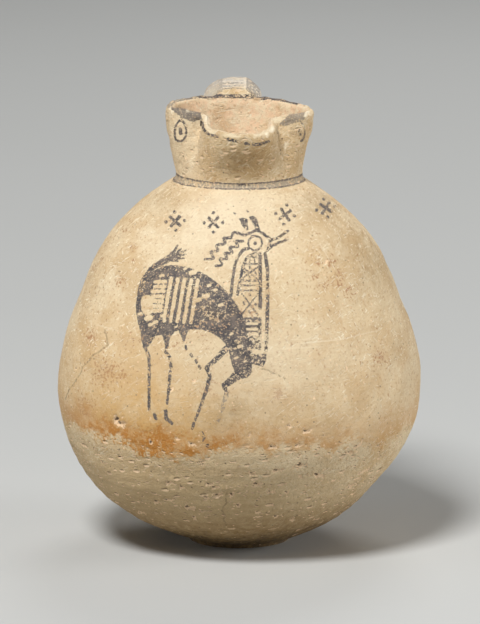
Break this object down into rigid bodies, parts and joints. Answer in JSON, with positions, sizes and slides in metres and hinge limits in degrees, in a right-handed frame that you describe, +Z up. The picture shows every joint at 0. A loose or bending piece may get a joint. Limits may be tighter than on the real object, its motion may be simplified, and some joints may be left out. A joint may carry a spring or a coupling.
{
  "type": "pinched-mouth juglet",
  "caption": "Hollow fired-clay juglet with a bag-shaped body on a low foot, a short neck, a rim pinched into lobes with a pouring lip, and a strap handle; painted animal in front.",
  "frame": {"origin": "on the ground under the middle of the foot", "axes": "+Z up through the mouth, -Y towards the pouring lip, +Y towards the handle"},
  "size_m": [0.1448, 0.1448, 0.1805],
  "materials": {
    "clay": "matt cream slip, worn, with dark brown paint"
  },
  "bodies": {
    "root": {"juglet": "clay"}
  },
  "joints": []
}
